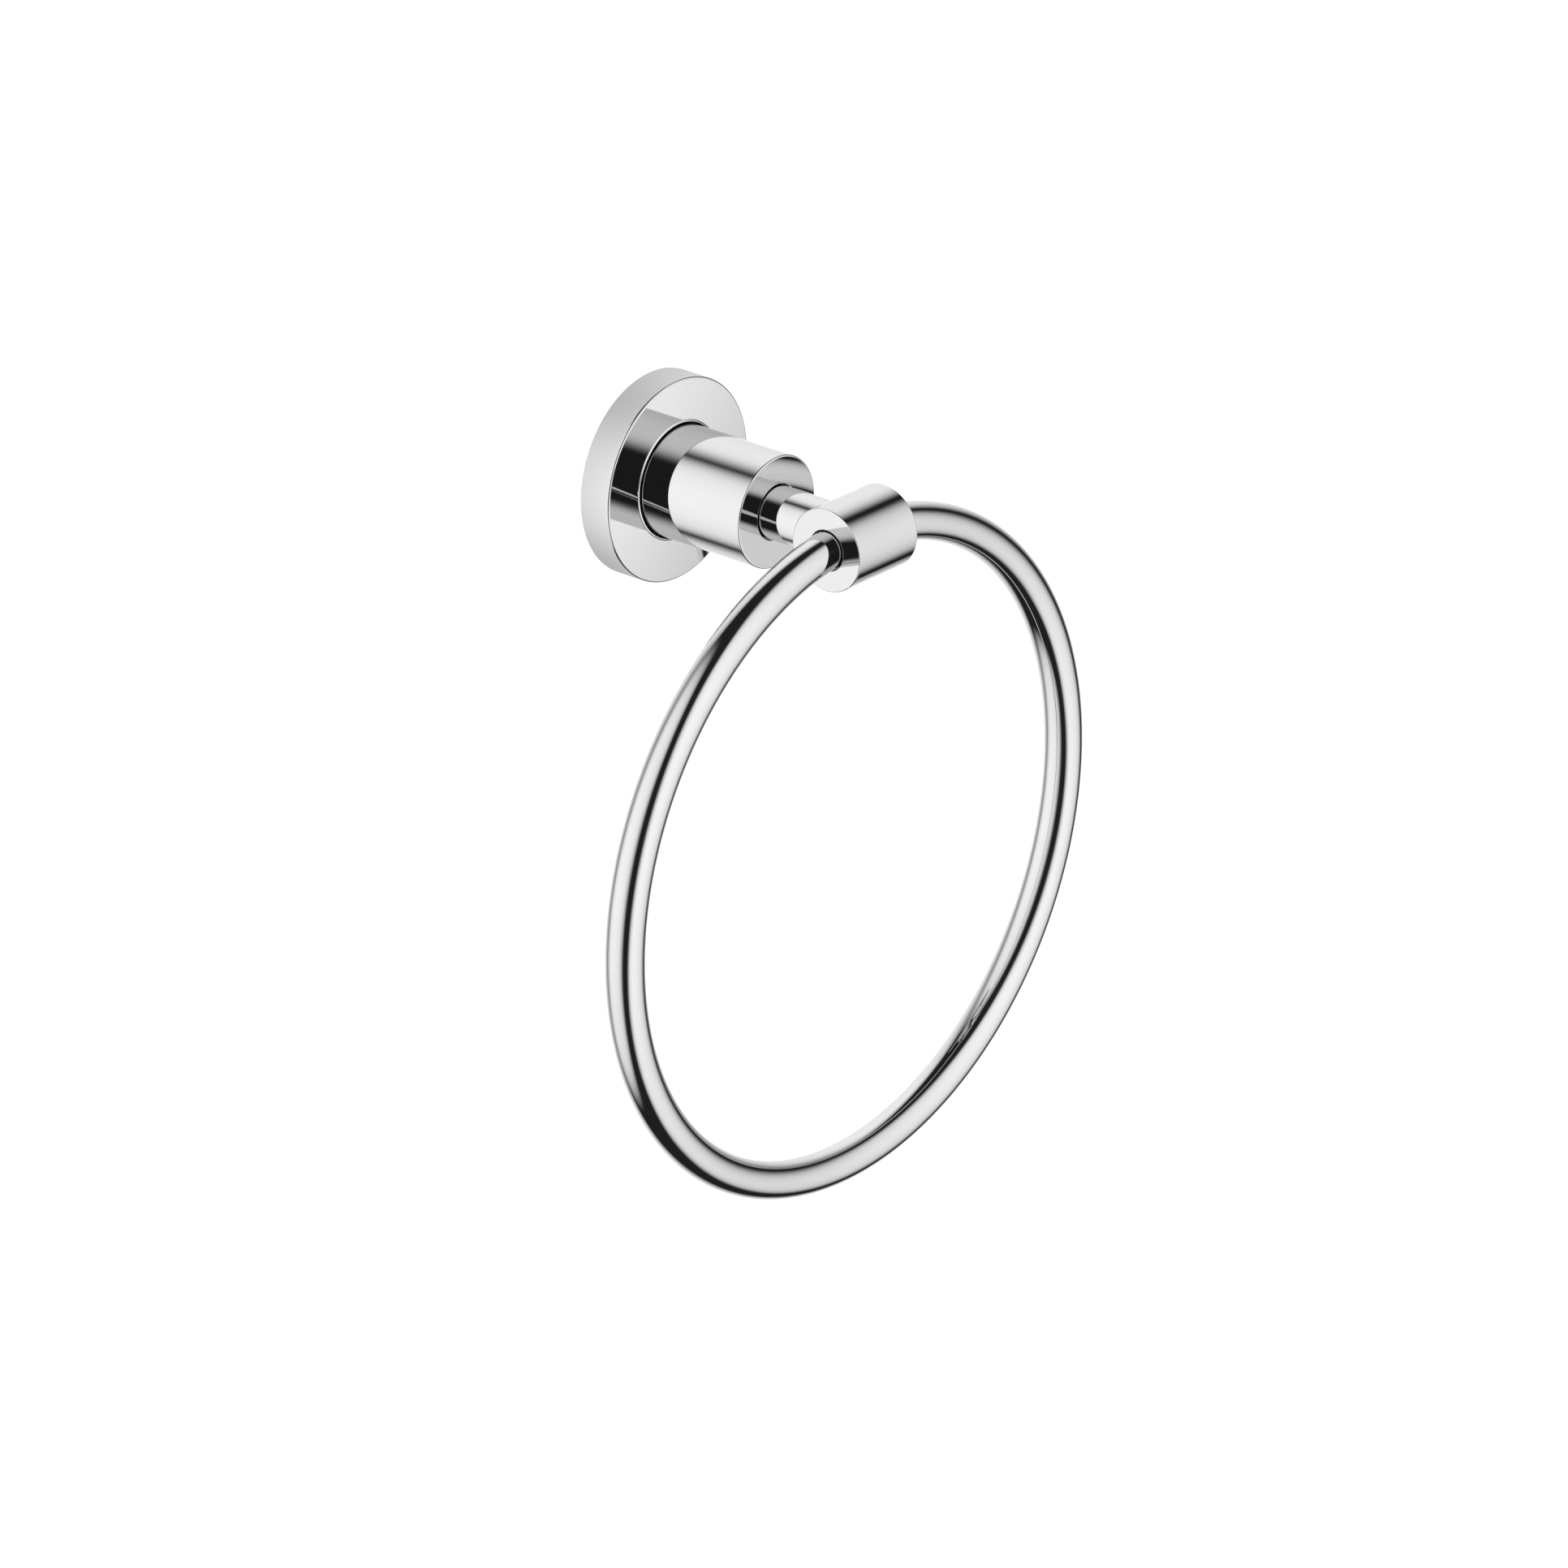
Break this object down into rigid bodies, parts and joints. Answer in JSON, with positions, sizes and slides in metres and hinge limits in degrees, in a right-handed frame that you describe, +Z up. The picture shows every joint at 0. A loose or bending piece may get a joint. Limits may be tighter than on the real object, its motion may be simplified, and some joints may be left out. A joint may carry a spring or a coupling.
{
  "type": "towel ring",
  "caption": "Wall-mounted towel ring: a round rosette and stepped post carry a cross knuckle in which a round chrome tube ring swings to hang a towel.",
  "frame": {"origin": "centre of the rosette's back, on the wall plane", "axes": "+Z up, +Y into the wall, so the post stands out along -Y and +X is to the right for someone facing the wall"},
  "size_m": [0.204, 0.0868, 0.2277],
  "materials": {
    "polished_chrome": "polished chrome on brass",
    "plate_metal": "plain turned",
    "screw_steel": "stainless",
    "brass_fitting": "turned",
    "bush_plastic": "moulded acetal",
    "black_rubber": "matt"
  },
  "bodies": {
    "post": {"wall_plate": "plate_metal", "rosette": "polished_chrome", "rosette_o_ring": "black_rubber", "post_body": "polished_chrome", "grub_screw": "screw_steel", "neck": "polished_chrome", "locating_pin": "screw_steel", "neck_screw": "screw_steel", "neck_washer": "screw_steel", "knuckle": "polished_chrome", "pivot_bush_left": "bush_plastic", "pivot_bush_right": "bush_plastic"},
    "ring": {"ring_tube": "polished_chrome", "ring_end_left": "brass_fitting", "ring_end_right": "brass_fitting"}
  },
  "joints": [
    {"name": "ring_swing", "type": "hinge", "parent": "post", "child": "ring", "pos_m": [0, -0.0747, 0], "axis": [1, 0, 0], "range_deg": [-200, 20]}
  ]
}
